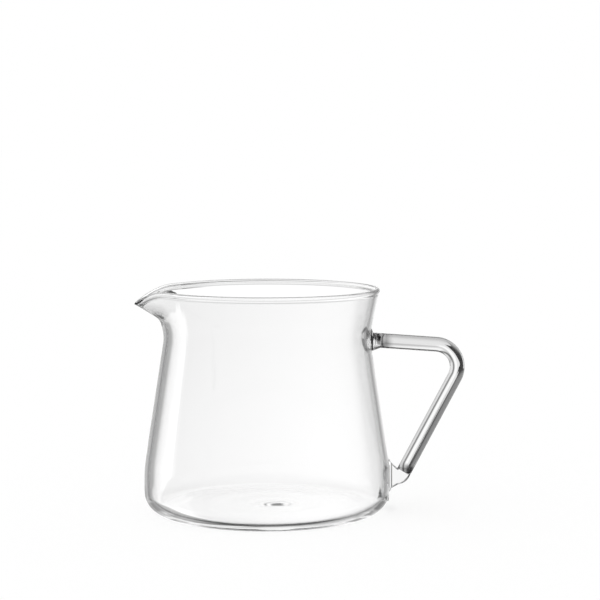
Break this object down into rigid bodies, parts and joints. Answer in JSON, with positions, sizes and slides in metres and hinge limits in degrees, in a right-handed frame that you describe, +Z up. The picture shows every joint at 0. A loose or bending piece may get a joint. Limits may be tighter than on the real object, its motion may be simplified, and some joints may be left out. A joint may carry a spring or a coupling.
{
  "type": "coffee server carafe",
  "caption": "Clear glass coffee server with a wide base, drawn-in waist, flared rim, pulled pouring spout and a bent solid glass rod handle welded to its side.",
  "frame": {"origin": "on the axis of the round body, at the level of the flat ring that it stands on", "axes": "+Z up along the body's axis, +X towards the handle, spout towards -X, XZ is the mirror plane"},
  "size_m": [0.1444, 0.108, 0.098],
  "materials": {
    "vessel_glass": "clear blown borosilicate, fire-polished",
    "rod_glass": "clear drawn solid rod, fire-polished",
    "weld_glass": "clear flame-worked gather, slightly wavy"
  },
  "bodies": {
    "root": {"vessel": "vessel_glass", "handle_rod": "rod_glass", "upper_weld": "weld_glass", "lower_weld": "weld_glass"}
  },
  "joints": []
}
